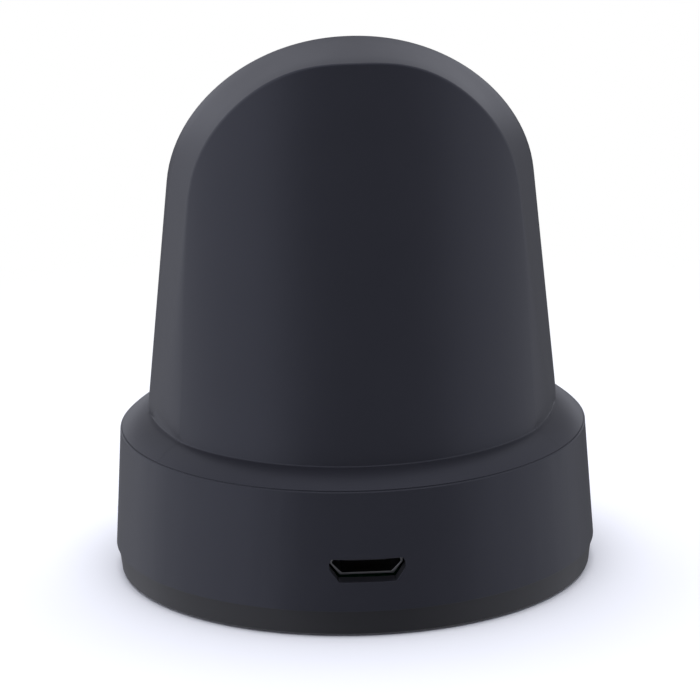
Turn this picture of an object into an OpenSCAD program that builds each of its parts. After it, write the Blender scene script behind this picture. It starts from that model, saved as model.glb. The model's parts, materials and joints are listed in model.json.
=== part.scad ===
// Charging dock for a smartwatch.
// Origin: centre of the foot on the table. +Z is up, the charging face looks towards -Y,
// and the socket is in the rear wall at +Y. All lengths are in millimetres.

/* [Base] */
// Diameter of the base wall at its lower edge
base_d = 54; // [50:0.5:60]
// Inward slope of the wall, from its lower to its upper edge
wall_taper = 0.8; // [0.4:0.05:1.4]
// Height of the upper edge of the wall above the table
wall_top = 16.55; // [15:0.05:20]
// Thickness of the base wall
wall_t = 2; // [1.6:0.1:2.4]
// Height of the joint between bottom cover and wall
cover_top = 3.05; // [2.6:0.05:3.5]
// Step of the cover inside the lower edge of the wall
cover_step = 0.2; // [0.1:0.05:0.5]
// Inward slope of the rim of the bottom cover, from its top to its foot
cover_draft = 0.35; // [0:0.05:1]
// Height by which the foot pad stands proud of the cover
pad_proud = 0.2; // [0.1:0.05:0.6]
// Thickness of the foot pad
pad_t = 1.2; // [0.8:0.1:1.6]
// Width of the foot pad ring
pad_w = 8.8; // [6:0.2:10]

/* [Shoulder] */
// Height of the deck, where the upright leaves the shoulder
deck_z = 18.4; // [17:0.1:22]
// Slope of the shoulder in degrees
shoulder_slope = 15; // [8:1:20]
// Step of the shoulder inside the upper edge of the wall
shoulder_step = 0.2; // [0.1:0.05:0.5]
// Width of the shoulder round the upright
shoulder_w = 3.04; // [2.6:0.02:3.6]
// Radius of the rounded outer edge of the shoulder
shoulder_round = 1.1; // [0.6:0.1:1.3]
// Thickness of the mouldings
shell_t = 1.8; // [1.4:0.1:2.2]
// Depth of the skirt that enters the base wall
skirt_h = 3; // [2:0.25:5]
// Fillet where the upright meets the shoulder
root_fillet = 0.7; // [0.3:0.1:1.2]

/* [Upright] */
// Inward slope of the barrel back, from the deck to its top
back_taper = 0.46; // [0.2:0.02:1]
// Lean of the charging face away from the upright position, in degrees
face_tilt = 12; // [8:1:14]
// Height of the arch's springing line above the deck, along the face
arch_v = 29.2; // [27:0.1:32]
// Inset of the face's edge from the barrel at the springing line
face_inset = 2.65; // [2.2:0.05:3]
// Rise of the arch above the springing line, along the face
face_rise = 17.05; // [16:0.05:19]
// Squareness of the face's arch, where 2 is an ellipse
face_power = 2.06; // [2:0.02:2.4]
// Widening of the face towards its foot, per millimetre
face_flare = 0.095; // [0.08:0.001:0.11]
// Inset of the back outline from the barrel at the springing line
back_inset = 7.83; // [6.8:0.01:8.6]
// Rise of the back outline above the springing line
back_rise = 16.7; // [16:0.05:19]
// Squareness of the back outline's arch
back_power = 2.76; // [2.2:0.02:3]
// Widening of the back outline towards its foot, per millimetre
back_flare = 0.116; // [0.06:0.002:0.13]
// Rounding of the edge round the charging face
face_round = 0.3; // [0.1:0.05:0.5]

/* [Charging face] */
// Width of the shell's rim round the face plate
rim_w = 2; // [1.6:0.1:2.4]
// Width of the ledge behind the face plate
ledge_w = 1.2; // [0.8:0.1:1.6]
// Recess of the face plate behind the rim
plate_recess = 0.3; // [0:0.1:0.6]
// Thickness of the face plate
plate_t = 2.2; // [1.8:0.1:2.6]
// Gap round the face plate
plate_gap = 0.12; // [0.05:0.01:0.3]
// Height of the foot of the face plate above the deck
sill_v = 3; // [2:0.1:4]
// Height of the centre of the dish above the deck, along the face
dish_v = 25; // [24:0.1:26]
// Width of the flat border between the dish and the edge of the face plate
dish_border = 1.69; // [1.2:0.01:3]
// Depth of the dish
dish_depth = 1.1; // [0.6:0.1:1.2]
// Distance from the edge of the dish to the middle of the soft contact ring
ring_inset = 4; // [3:0.1:5]
// Width of the soft contact ring
ring_w = 2.4; // [1.6:0.1:3]

/* [Coil] */
// Gap between the carrier tray and the opening behind the face plate
carrier_gap = 0.91; // [0.6:0.01:1.4]
// Thickness of the floor of the carrier
carrier_t = 1.5; // [1:0.1:2]
// Distance of the carrier screws from the edge of the carrier
carrier_screw_in = 1.8; // [1.6:0.1:2]
// Gap between the coil and the screw bosses
coil_gap = 0.6; // [0.3:0.1:1.5]
// Inner diameter of the coil
coil_bore_d = 11; // [10:0.2:14]
// Thickness of the coil
coil_t = 0.7; // [0.6:0.05:0.8]
// Depth by which neighbouring turns are pressed into each other
coil_lap = 0.08; // [0.05:0.01:0.1]
// Thickness of the ferrite sheet
ferrite_t = 0.8; // [0.6:0.1:1.2]
// Diameter of the holding magnet
magnet_d = 8; // [6:0.5:9]
// Diameter of the insulated coil leads
lead_d = 0.9; // [0.7:0.1:1]

/* [Socket] */
// Width of the cut-out in the wall
port_w = 8.36; // [8:0.02:8.8]
// Height of the cut-out
port_h = 2.57; // [2.5:0.01:3]
// Height of the middle of the cut-out above the table
port_z = 7.64; // [7.4:0.02:8.2]
// Gap between cut-out and socket
port_gap = 0.16; // [0.1:0.02:0.3]
// Depth of the socket
socket_depth = 5.2; // [5:0.1:5.6]
// Sheet thickness of the socket shell
socket_sheet = 0.25; // [0.2:0.01:0.3]

/* [Electronics] */
// Thickness of the main board
board_t = 1.2; // [1:0.1:1.6]
// Gap between the main board and the base wall
board_gap = 1.53; // [1:0.01:2]
// Distance of the housing bosses from the outside of the skirt
boss_inset = 3.58; // [3.3:0.02:4]
// Diameter of the housing bosses
boss_d = 5.2; // [4.8:0.1:5.6]
// Distance of the board posts from the edge of the board
post_inset = 10.7; // [9.5:0.1:11]
// Thickness of the ballast plate
ballast_t = 2.2; // [1.6:0.1:2.4]
// Diameter of the light pipe
pipe_d = 2; // [1.6:0.1:2.4]

/* [Hidden] */

$fn = 96;
eps = 0.01;
cut = 1;

charcoal = "#3a3a41";
dark_band = "#2c2d31";
bare_steel = "#9a9ca0";
solder_mask = "#1f5a3a";
black_resin = "#1c1c1f";

// Base
base_top_d = base_d - 2 * wall_taper;
wall_h = wall_top - cover_top;
wall_draft = wall_taper / wall_h;
wall_edge = 0.12;
cover_r = base_d / 2 - cover_step;
cover_edge = 0.1;
cover_lip_t = 1.2;
cover_lip_h = 2;
floor_web = 1;
floor_t = pad_t + floor_web;
floor_z = pad_proud + floor_t;
pad_gap = 0.1;

// Shoulder
shoulder_r = base_top_d / 2 - shoulder_step;
deck_under = wall_top;
fit_gap = 0.12;
skirt_r = wall_in_r(wall_top) - fit_gap;
skirt_t = 1.4;

// Upright
back_r = shoulder_r - shoulder_w;
back_plane = back_r + 1;
face_half_w = back_r - face_inset;
back_half_w = back_r - back_inset;
rear_v = arch_v * cos(face_tilt);
seat_depth = plate_recess + plate_t;
back_draft = back_taper / (rear_v + back_rise);
arch_steps = 48;
round_steps = 3;
rib_t = 1.2;
rib_depth = 2.5;
rib_x = 8;
rib_top = rear_v;

// Charging face stack, measured along the normal of the face and negative inwards
dish_d = 2 * (face_half_w - rim_w - plate_gap - dish_border);
ring_d = dish_d - 2 * ring_inset;
groove_sink = 0.4;
ring_sink = 0.35;
ring_floor = -plate_recess - dish_depth - groove_sink;
ring_top = -plate_recess - ring_sink;
ring_round = 0.4;
stack_gap = 0.05;
coil_top = -seat_depth - stack_gap;
ferrite_top = coil_top - coil_t - stack_gap;
carrier_d = 2 * (face_half_w - rim_w - ledge_w - carrier_gap);
carrier_pcd = carrier_d - 2 * carrier_screw_in;
carrier_top = ferrite_top - ferrite_t;
carrier_back = carrier_top - carrier_t;
carrier_rim_gap = 0.2;
carrier_rim_top = -seat_depth - carrier_rim_gap;
carrier_rim_t = 1;
carrier_rib_t = 1;
carrier_rib_h = 0.9;
carrier_boss_d = 3.2;
carrier_angles = [45, 135, 225, 315];
coil_d = carrier_pcd - carrier_boss_d - 2 * coil_gap;
coil_band = (coil_d - coil_bore_d) / 2 - coil_t;
coil_turns = 1 + ceil(coil_band / (coil_t - coil_lap));
coil_pitch = coil_band / (coil_turns - 1);
magnet_wall = 0.8;
lead_notch_w = 4;
small_screw_d = 1.1;
small_screw_in = 2;
small_head_d = 2.6;
small_head_t = 1;
screw_clear = 0.1;

// Socket and board
port_chamfer_w = 1.05;
port_chamfer_h = 1.5;
port_ease = 0.25;
socket_h = port_h - 2 * port_gap;
socket_setback = 0.35;
socket_front = wall_in_r(port_z) - socket_setback;
socket_back = socket_front - socket_depth + socket_sheet;
socket_block = 1;
tongue_margin = 1.7;
tongue_w = port_w - 2 * (port_gap + tongue_margin);
tongue_t = 0.6;
tongue_setback = 1.4;
contact_setback = 3;
tongue_z = port_z + 0.35;
contact_pitch = 0.65;
contact_w = 0.3;
contact_t = 0.15;
board_top = port_z - socket_h / 2;
board_z = board_top - board_t;
board_d = 2 * (wall_in_r(port_z) - board_gap);
boss_pcd = 2 * (skirt_r - boss_inset);
boss_angles = [40, 140, 220, 320];
pad_mid_r = boss_pcd / 2 - 1;
boss_seat_h = 1.4;
boss_foot = floor_z + boss_seat_h;
boss_rib_t = 1.2;
boss_rib_h = 6;
boss_web = 0.7;
post_pcd = board_d - 2 * post_inset;
post_angles = [90, 210, 330];
post_d = 4.8;
post_screw_d = 1.6;
post_head_d = 3.8;
post_head_t = 1.3;
post_screw_l = 3.4;
board_slack = 0.8;
screw_d = 1.8;
screw_l = 8;
head_d = 4.2;
head_t = 1.5;
head_floor = 1;
pipe_z = 10;
pipe_gap = 0.05;
pipe_setback = 0.15;
led_inset = 4.2;
led_y = led_inset - wall_in_r(pipe_z);
led_h = 0.8;
pipe_lift = 0.2;

// Parts on the board: sizes, and places from its middle
plug_x = 7.4;
plug_y = 4.25;
plug_size = [4.4, 2.8, 3];
header_size = [6, 4.4, 3.2];
header_wall = 0.7;
header_floor = 0.8;
lead_pitch = 1.6;
lead_entry = 0.6;
controller_size = [5, 5, 0.9];
transistor_size = [3, 3, 0.9];
transistor_x = 2.2;
transistor_y = -6.2;
inductor_size = [6, 6, 0.8];
inductor_x = -plug_x;
inductor_core_d = 5.6;
inductor_core_h = 2.8;
resonant_size = [1.6, 3.2, 1.6];
resonant_pitch = 2.6;
resonant_y = -11;
filter_size = [1.25, 2, 1.2];
filter_x = -5.4;
filter_y = -0.6;
filter_pitch = 2;
resistor_size = [0.8, 1.6, 0.45];
resistor_x = 4.4;
resistor_y = -1;
resistor_pitch = 1.4;

// Leads: from the coil's lower edge, down behind the face plate and into the plug. Each bend is given
// by the share of the way across, how far it bows to the rear, and the share of the way down
lead_off = 0.05;
lead_start = face_to_dock(dish_v - coil_d / 2 - lead_off, coil_top - coil_t / 2 - 2 * lead_off);
lead_end = [plug_x, plug_y, board_top + header_floor + plug_size[2] - lead_entry + lead_off];
lead_bends = [[0, 0, 0], [0, -0.061, 0.022], [0, 0.044, 0.086], [0, 0.776, 0.155], [0.014, 2.011, 0.219],
    [0.054, 3.409, 0.292], [0.135, 4.527, 0.381], [0.257, 5.151, 0.474], [0.405, 5.368, 0.563],
    [0.568, 5.186, 0.651], [0.73, 4.597, 0.735], [0.878, 3.495, 0.808], [0.973, 2.074, 0.867],
    [1, 0.739, 0.916], [1, 0.004, 0.966], [1, 0, 1]];
lead_route = [for (bend = lead_bends)
    [plug_x * bend[0], lead_start[1] + (plug_y - lead_start[1]) * bend[2] + bend[1],
        lead_start[2] + (lead_end[2] - lead_start[2]) * bend[2]]];

// Point of the dock for a point of the face, given by its height along the face and outwards from it
function face_to_dock(v, out) = [0, v * sin(face_tilt) - out * cos(face_tilt),
    deck_z + v * cos(face_tilt) + out * sin(face_tilt)];

function wall_out_r(z) = base_d / 2 - (z - cover_top) * wall_draft;
function wall_in_r(z) = wall_out_r(z) - wall_t;

// Outline of an arch on straight flared legs, from the right foot over the crown to the left foot
function arch_side(half_w, rise, flare, power, t) =
    let (c = pow(cos(t), 2 / power), s = pow(sin(t), 2 / power))
    [c * (half_w - flare * rise * s), rise * s];
function arch_outline(half_w, rise, flare, power, drop) =
    let (right = concat([[half_w + flare * drop, -drop]],
        [for (i = [0 : arch_steps - 1]) arch_side(half_w, rise, flare, power, 90 * i / arch_steps)]))
    concat(right, [[0, rise]], [for (i = [len(right) - 1 : -1 : 0]) [-right[i][0], right[i][1]]]);

// Frame of the charging face: x across, y up along the face from the deck, z outwards
module on_face() {
    translate([0, 0, deck_z])
        rotate([90 - face_tilt, 0, 0])
            children();
}

module at_dish() {
    on_face()
        translate([0, dish_v, 0])
            children();
}

// Face outline moved inwards by inset, with its foot at foot_v
module face_outline(inset, foot_v) {
    translate([0, arch_v])
        polygon(arch_outline(face_half_w - inset, face_rise - inset, face_flare, face_power,
            arch_v - foot_v));
}

module back_outline(inset, foot_v) {
    translate([0, rear_v])
        polygon(arch_outline(back_half_w - inset, back_rise - inset, back_flare, back_power,
            rear_v - foot_v));
}

// Drafted arch between an outline on the face and one behind the barrel
module arch_body(front_in, rear_in, depth, foot_v, edge_r = 0) {
    hull() {
        for (i = [0 : edge_r > 0 ? round_steps : 0]) {
            a = 90 * i / round_steps;
            on_face()
                translate([0, 0, -depth - edge_r * (1 - cos(a)) - eps])
                    linear_extrude(eps)
                        face_outline(front_in + edge_r * (1 - sin(a)), foot_v);
        }
        translate([0, back_plane, deck_z])
            rotate([90, 0, 0])
                linear_extrude(eps)
                    back_outline(rear_in, foot_v);
    }
}

// Tapered barrel whose rear half is the back of the upright
module barrel(inset) {
    over = 4;
    translate([0, 0, deck_z - over])
        cylinder(h = rear_v + back_rise + 2 * over, r1 = back_r + over * back_draft - inset,
            r2 = back_r - back_taper - over * back_draft - inset, $fn = 180);
}

module shoulder_section() {
    round_r = shoulder_r - shoulder_round;
    round_z = deck_z - (round_r - back_r) * tan(shoulder_slope) - shoulder_round / cos(shoulder_slope);
    difference() {
        union() {
            polygon([[0, deck_under], [shoulder_r, deck_under], [shoulder_r, round_z], [round_r, round_z],
                [round_r + shoulder_round * sin(shoulder_slope),
                    round_z + shoulder_round * cos(shoulder_slope)],
                [back_r, deck_z], [0, deck_z]]);
            translate([round_r, round_z])
                circle(shoulder_round);
        }
        translate([0, deck_under - 2 * shoulder_round - cut])
            square([shoulder_r + cut, 2 * shoulder_round + cut]);
    }
}

// Concave fillet between the barrel and the shoulder
module root_fillet_section() {
    bury = 0.4;
    fillet_r = back_r + root_fillet;
    fillet_z = deck_z - root_fillet * tan(shoulder_slope) + root_fillet / cos(shoulder_slope);
    touch = [fillet_r - root_fillet * sin(shoulder_slope), fillet_z - root_fillet * cos(shoulder_slope)];
    difference() {
        polygon([[back_r - bury, fillet_z], [back_r - eps / 2, fillet_z], touch,
            [touch[0], deck_z - bury], [back_r - bury, deck_z - bury]]);
        translate([fillet_r, fillet_z])
            circle(root_fillet);
    }
}

module at_bosses() {
    for (a = boss_angles)
        rotate([0, 0, a])
            translate([boss_pcd / 2, 0, 0])
                children();
}

module at_posts() {
    for (a = post_angles)
        rotate([0, 0, a])
            translate([post_pcd / 2, 0, 0])
                children();
}

module at_carrier_screws() {
    at_dish()
        for (a = carrier_angles)
            rotate([0, 0, a])
                translate([carrier_pcd / 2, 0, 0])
                    children();
}

// Ring about Z with a rectangular section
module ring(r_mid, width, z, h) {
    translate([0, 0, z])
        difference() {
            cylinder(h = h, r = r_mid + width / 2, $fn = 180);
            translate([0, 0, -cut])
                cylinder(h = h + 2 * cut, r = r_mid - width / 2, $fn = 180);
        }
}

// Skirt that enters the base wall, with the screw bosses and their ribs
module skirt_and_bosses() {
    root = 0.5;
    ring(skirt_r - skirt_t / 2, skirt_t, deck_under - skirt_h, skirt_h + root);
    at_bosses() {
        translate([0, 0, boss_foot])
            cylinder(h = deck_under - boss_foot + root, d = boss_d, $fn = 48);
        translate([0, -boss_rib_t / 2, deck_under - boss_rib_h])
            cube([skirt_r - root - boss_pcd / 2, boss_rib_t, boss_rib_h + root]);
    }
}

// Upright ribs on the inner side of the barrel back
module rear_ribs() {
    rib_front = sqrt(pow(back_r - shell_t, 2) - pow(rib_x, 2)) - rib_depth;
    intersection() {
        barrel(shell_t / 2);
        for (side = [-1, 1])
            translate([side * rib_x - rib_t / 2, 0, deck_z - cut])
                difference() {
                    cube([rib_t, back_plane, rib_top + cut]);
                    translate([-cut, -cut, -cut])
                        cube([rib_t + 2 * cut, rib_front + cut, rib_top + 3 * cut]);
                }
    }
}

// Hollow moulding: shoulder, deck, upright, skirt, bosses and ribs
module top_shell() {
    color(charcoal)
        union() {
            difference() {
                union() {
                    rotate_extrude($fn = 180)
                        shoulder_section();
                    intersection() {
                        barrel(0);
                        arch_body(0, 0, 0, -1.5, face_round);
                    }
                    rotate_extrude(angle = 180, $fn = 180)
                        root_fillet_section();
                    skirt_and_bosses();
                }
                // hollow of the upright, open to the base
                intersection() {
                    barrel(shell_t);
                    arch_body(rim_w + ledge_w, shell_t, seat_depth, -6);
                }
                // seat of the face plate
                on_face()
                    translate([0, 0, -seat_depth])
                        linear_extrude(seat_depth + cut)
                            face_outline(rim_w, sill_v);
                // opening behind the face plate, inside the ledge
                on_face()
                    translate([0, 0, -seat_depth - cut])
                        linear_extrude(seat_depth + 2 * cut)
                            face_outline(rim_w + ledge_w, sill_v + ledge_w);
                // pilot holes of the housing screws
                at_bosses()
                    translate([0, 0, boss_foot - cut])
                        cylinder(h = screw_l + cut, d = screw_d, $fn = 32);
            }
            rear_ribs();
        }
}

// Outline of the socket's cut-out, moved inwards by inset
module port_outline(inset) {
    w = port_w / 2 - inset;
    top = port_h / 2 - inset;
    polygon([[-w + port_ease, top], [-w, top - 2 * port_ease], [-w, port_chamfer_h - port_h / 2],
        [-w + port_chamfer_w, -top], [w - port_chamfer_w, -top], [w, port_chamfer_h - port_h / 2],
        [w, top - 2 * port_ease], [w - port_ease, top]]);
}

// Extrudes the socket's outline along Y from y0 to y1
module port_bar(inset, y0, y1) {
    translate([0, y1, port_z])
        rotate([90, 0, 0])
            linear_extrude(y1 - y0)
                port_outline(inset);
}

module base_wall() {
    relief = 0.1;
    color(charcoal)
        difference() {
            rotate_extrude($fn = 180)
                polygon([[wall_in_r(cover_top), cover_top], [base_d / 2, cover_top],
                    [wall_out_r(wall_top - wall_edge), wall_top - wall_edge],
                    [wall_out_r(wall_top) - wall_edge, wall_top],
                    [wall_in_r(wall_top), wall_top]]);
            port_bar(0, socket_front - cut, base_d / 2 + cut);
            // flat relief inside the wall, round the mouth of the socket
            translate([-port_w / 2 - cut, socket_front - cut, port_z - port_h / 2 - 2 * cut])
                cube([port_w + 2 * cut, cut - relief, port_h + 4 * cut]);
            // window of the light pipe
            translate([0, cut - wall_in_r(pipe_z), pipe_z])
                rotate([90, 0, 0])
                    cylinder(h = wall_t + 2 * cut, d = pipe_d + 2 * pipe_gap, $fn = 48);
        }
}

module bottom_cover() {
    lip_r = wall_in_r(floor_z) - 2 * fit_gap;
    foot_r = cover_r - cover_draft;
    root = 0.2;
    color(dark_band)
        difference() {
            union() {
                rotate_extrude($fn = 180)
                    polygon([[0, pad_proud], [foot_r - cover_edge, pad_proud],
                        [foot_r, pad_proud + cover_edge], [cover_r, cover_top], [lip_r, cover_top],
                        [lip_r, floor_z + cover_lip_h], [lip_r - cover_lip_t, floor_z + cover_lip_h],
                        [lip_r - cover_lip_t, floor_z], [0, floor_z]]);
                at_bosses()
                    translate([0, 0, floor_z - root])
                        cylinder(h = boss_foot - floor_z + root, d = boss_d + 2 * boss_web, $fn = 48);
                at_posts()
                    translate([0, 0, floor_z - root])
                        cylinder(h = board_z - floor_z + root, d = post_d, $fn = 48);
            }
            // groove of the foot pad
            ring(pad_mid_r, pad_w + 2 * pad_gap, pad_proud - cut, pad_t - pad_proud + cut);
            // sunk holes of the housing screws
            at_bosses() {
                translate([0, 0, pad_proud])
                    cylinder(h = boss_foot - pad_proud - head_floor, d = head_d + 4 * screw_clear, $fn = 48);
                cylinder(h = boss_foot + cut, d = screw_d + 4 * screw_clear, $fn = 32);
            }
            // pilot holes of the board screws
            at_posts()
                translate([0, 0, board_top - post_screw_l])
                    cylinder(h = post_screw_l, d = post_screw_d, $fn = 32);
        }
}

module foot_pad() {
    color(black_resin)
        ring(pad_mid_r, pad_w, 0, pad_t);
}

module face_plate() {
    ball_r = (pow(dish_d / 2, 2) + pow(dish_depth, 2)) / 2 / dish_depth;
    root = 0.2;
    color(charcoal)
        difference() {
            union() {
                on_face()
                    translate([0, 0, -seat_depth])
                        linear_extrude(plate_t)
                            face_outline(rim_w + plate_gap, sill_v + plate_gap);
                at_carrier_screws()
                    translate([0, 0, carrier_top])
                        cylinder(h = root - seat_depth - carrier_top, d = carrier_boss_d, $fn = 48);
            }
            at_dish()
                translate([0, 0, -plate_recess - dish_depth + ball_r])
                    sphere(ball_r, $fn = 200);
            at_dish()
                ring(ring_d / 2, ring_w + 2 * pad_gap, ring_floor, ring_top - ring_floor + cut);
            at_carrier_screws()
                translate([0, 0, carrier_top - cut])
                    cylinder(h = cut + small_screw_in + 2 * screw_clear, d = small_screw_d, $fn = 24);
        }
}

module contact_ring() {
    body_h = ring_top - ring_floor;
    color(black_resin)
        at_dish()
            rotate_extrude($fn = 120)
                translate([ring_d / 2, ring_floor]) {
                    translate([-ring_w / 2, 0])
                        square([ring_w, body_h - ring_round]);
                    translate([ring_round - ring_w / 2, 0])
                        square([ring_w - 2 * ring_round, body_h]);
                    for (side = [-1, 1])
                        translate([side * (ring_w / 2 - ring_round), body_h - ring_round])
                            circle(ring_round, $fn = 24);
                }
}

module coil_carrier() {
    root = 0.2;
    boss_clear = 0.2;
    rib_l = carrier_d - 6 * carrier_rib_t;
    color("#d9d9d4")
        difference() {
            at_dish() {
                translate([0, 0, carrier_back])
                    cylinder(h = carrier_t, d = carrier_d, $fn = 120);
                ring((carrier_d - carrier_rim_t) / 2, carrier_rim_t, carrier_top - root,
                    carrier_rim_top - carrier_top + root);
                ring((magnet_d + magnet_wall) / 2 + screw_clear, magnet_wall, carrier_top - root,
                    ferrite_t + root);
                // stiffening ribs on the back
                for (a = [0, 90])
                    rotate([0, 0, a])
                        translate([-rib_l / 2, -carrier_rib_t / 2, carrier_back - carrier_rib_h])
                            cube([rib_l, carrier_rib_t, carrier_rib_h + root]);
            }
            at_carrier_screws()
                translate([0, 0, carrier_back - cut])
                    cylinder(h = carrier_t + 2 * cut, d = small_screw_d + 5 * screw_clear, $fn = 24);
            // clearance round the bosses of the face plate
            at_carrier_screws()
                translate([0, 0, carrier_top])
                    cylinder(h = 4 * cut, d = carrier_boss_d + boss_clear, $fn = 48);
            // way out for the leads
            at_dish()
                translate([-lead_notch_w / 2, -carrier_d / 2 - cut, carrier_back - 2 * cut])
                    cube([lead_notch_w, (carrier_d - coil_d) / 2 + cut, carrier_t + 6 * cut]);
        }
}

module charging_coil() {
    color("#b5652f")
        at_dish()
            rotate_extrude($fn = 120)
                for (i = [0 : coil_turns - 1])
                    translate([(coil_bore_d + coil_t) / 2 + i * coil_pitch, coil_top - coil_t / 2])
                        circle(d = coil_t, $fn = 24);
}

module ferrite_sheet() {
    hole_r = magnet_d / 2 + magnet_wall + 2 * screw_clear;
    outer_r = coil_d / 2 + stack_gap;
    color("#37373a")
        at_dish()
            ring((outer_r + hole_r) / 2, outer_r - hole_r, carrier_top, ferrite_t);
}

module holding_magnet() {
    color(bare_steel)
        at_dish()
            translate([0, 0, carrier_top])
                cylinder(h = coil_top - carrier_top, d = magnet_d, $fn = 60);
}

module carrier_screws() {
    color(bare_steel)
        at_carrier_screws() {
            translate([0, 0, carrier_back - small_head_t])
                cylinder(h = small_head_t, d = small_head_d, $fn = 32);
            translate([0, 0, carrier_back - screw_clear])
                cylinder(h = carrier_t + small_screw_in, d = small_screw_d, $fn = 24);
        }
}

// Tube of constant size swept along a list of points
function unit(v) = v / norm(v);
function sweep_ring(path, i, r, sides) =
    let (a = path[max(i - 1, 0)], b = path[min(i + 1, len(path) - 1)], d = unit(b - a),
        s = unit(cross(d, [0, 1, 0.3])), u = cross(s, d))
    [for (k = [0 : sides - 1]) path[i] + r * (cos(360 * k / sides) * s + sin(360 * k / sides) * u)];

module sweep_tube(path, r, sides = 8) {
    n = len(path);
    points = [for (i = [0 : n - 1]) each sweep_ring(path, i, r, sides)];
    walls = [for (i = [0 : n - 2], k = [0 : sides - 1])
        [i * sides + k, i * sides + (k + 1) % sides, (i + 1) * sides + (k + 1) % sides, (i + 1) * sides + k]];
    first = [[for (k = [sides - 1 : -1 : 0]) k]];
    last = [[for (k = [0 : sides - 1]) (n - 1) * sides + k]];
    polyhedron(points = points, faces = concat(first, walls, last));
}

module coil_lead(side) {
    sweep_tube([for (p = lead_route) p + [side * lead_pitch / 2, 0, 0]], lead_d / 2);
}

module coil_lead_a() {
    color("#a02c28")
        coil_lead(-1);
}

module coil_lead_b() {
    color(black_resin)
        coil_lead(1);
}

// Rectangular block centred on x and y, standing on the board or above it
module package(x, y, size, lift = 0) {
    translate([x - size[0] / 2, y - size[1] / 2, board_top + lift])
        cube(size);
}

module lead_header() {
    bay = [header_size[0] - 2 * header_wall, header_size[1] - 2 * header_wall, header_size[2]];
    color("#e8e4d8")
        difference() {
            package(plug_x, plug_y, header_size);
            package(plug_x, plug_y, bay, header_floor);
        }
}

module lead_plug() {
    hole_z = board_top + header_floor + plug_size[2] - lead_entry;
    color("#f0ede4")
        difference() {
            package(plug_x, plug_y, plug_size, header_floor);
            for (side = [-1, 1])
                translate([plug_x + side * lead_pitch / 2, plug_y, hole_z])
                    cylinder(h = lead_entry + cut, d = lead_d + 3 * screw_clear, $fn = 24);
        }
}

module main_board() {
    color(solder_mask)
        difference() {
            translate([0, 0, board_z])
                cylinder(h = board_t, d = board_d, $fn = 120);
            // open slots round the housing bosses
            at_bosses()
                translate([0, -(boss_d + board_slack) / 2, board_z - cut])
                    cube([boss_pcd / 2, boss_d + board_slack, board_t + 2 * cut]);
            at_bosses()
                translate([0, 0, board_z - cut])
                    cylinder(h = board_t + 2 * cut, d = boss_d + board_slack, $fn = 48);
            at_posts()
                translate([0, 0, board_z - cut])
                    cylinder(h = board_t + 2 * cut, d = post_screw_d + 6 * screw_clear, $fn = 32);
        }
}

module socket_shell() {
    color(bare_steel)
        difference() {
            port_bar(port_gap, socket_front - socket_depth, socket_front);
            port_bar(port_gap + socket_sheet, socket_back, socket_front + cut);
        }
}

module socket_tongue() {
    fit = 0.03;
    color(black_resin) {
        translate([-tongue_w / 2, socket_back, tongue_z - tongue_t / 2])
            cube([tongue_w, socket_depth - tongue_setback, tongue_t]);
        port_bar(port_gap + socket_sheet + fit, socket_back, socket_back + socket_block);
    }
}

module socket_contacts() {
    color("#c9a24a")
        for (i = [-2 : 2])
            translate([i * contact_pitch - contact_w / 2, socket_back + socket_block,
                tongue_z - tongue_t / 2 - contact_t])
                cube([contact_w, socket_depth - contact_setback, contact_t]);
}

module charge_controller() {
    color(black_resin)
        package(0, 0, controller_size);
}

module power_transistors() {
    color(black_resin)
        for (side = [-1, 1])
            package(side * transistor_x, transistor_y, transistor_size);
}

module power_inductor() {
    color("#4a4a4c") {
        package(inductor_x, plug_y, inductor_size);
        translate([inductor_x, plug_y, board_top])
            cylinder(h = inductor_core_h, d = inductor_core_d, $fn = 48);
    }
}

module resonant_capacitors() {
    color("#b08d57")
        for (i = [0 : 3])
            package(resonant_pitch * (i - 1.5), resonant_y, resonant_size);
}

module filter_capacitors() {
    color("#b08d57")
        for (i = [0 : 2])
            package(filter_x - filter_pitch * i, filter_y, filter_size);
}

module chip_resistors() {
    color(black_resin)
        for (i = [0 : 5])
            package(resistor_x + resistor_pitch * i, resistor_y, resistor_size);
}

module indicator_led() {
    color("#f2efe2")
        package(0, led_y, [pipe_d, 1.25, led_h]);
}

// Bent clear rod: its lower end stands on the lamp and its front end is the window
module light_pipe() {
    front = wall_out_r(pipe_z) - pipe_setback;
    foot = board_top + led_h + pipe_lift;
    color("#e6eef2")
        difference() {
            union() {
                translate([0, led_y + pipe_d / 2, pipe_z])
                    rotate([90, 0, 0])
                        cylinder(h = front + led_y + pipe_d / 2, d = pipe_d, $fn = 48);
                translate([0, led_y, foot])
                    cylinder(h = pipe_z - foot, d = pipe_d, $fn = 48);
            }
            // mirror face that turns the light forward
            translate([0, led_y + pipe_d / 2, pipe_z])
                rotate([45, 0, 0])
                    translate([-pipe_d, 0, -2 * pipe_d])
                        cube([2 * pipe_d, 2 * pipe_d, 4 * pipe_d]);
        }
}

module ballast_plate() {
    slack = 0.3;
    color(bare_steel)
        difference() {
            translate([0, 0, floor_z])
                cylinder(h = ballast_t, r = (boss_pcd - boss_d) / 2 - boss_web - slack, $fn = 120);
            at_posts()
                translate([0, 0, floor_z - cut])
                    cylinder(h = ballast_t + 2 * cut, d = post_d + 2 * slack, $fn = 48);
        }
}

module board_screws() {
    root = 0.2;
    color(bare_steel)
        at_posts() {
            translate([0, 0, board_top])
                cylinder(h = post_head_t, d = post_head_d, $fn = 48);
            translate([0, 0, board_top - post_screw_l])
                cylinder(h = post_screw_l + root, d = post_screw_d, $fn = 32);
        }
}

module housing_screws() {
    head_z = boss_foot - head_floor - head_t;
    root = 0.1;
    color(bare_steel)
        at_bosses() {
            translate([0, 0, head_z])
                cylinder(h = head_t, d = head_d, $fn = 48);
            translate([0, 0, head_z + head_t - root])
                cylinder(h = screw_l + root, d = screw_d, $fn = 32);
        }
}

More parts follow.
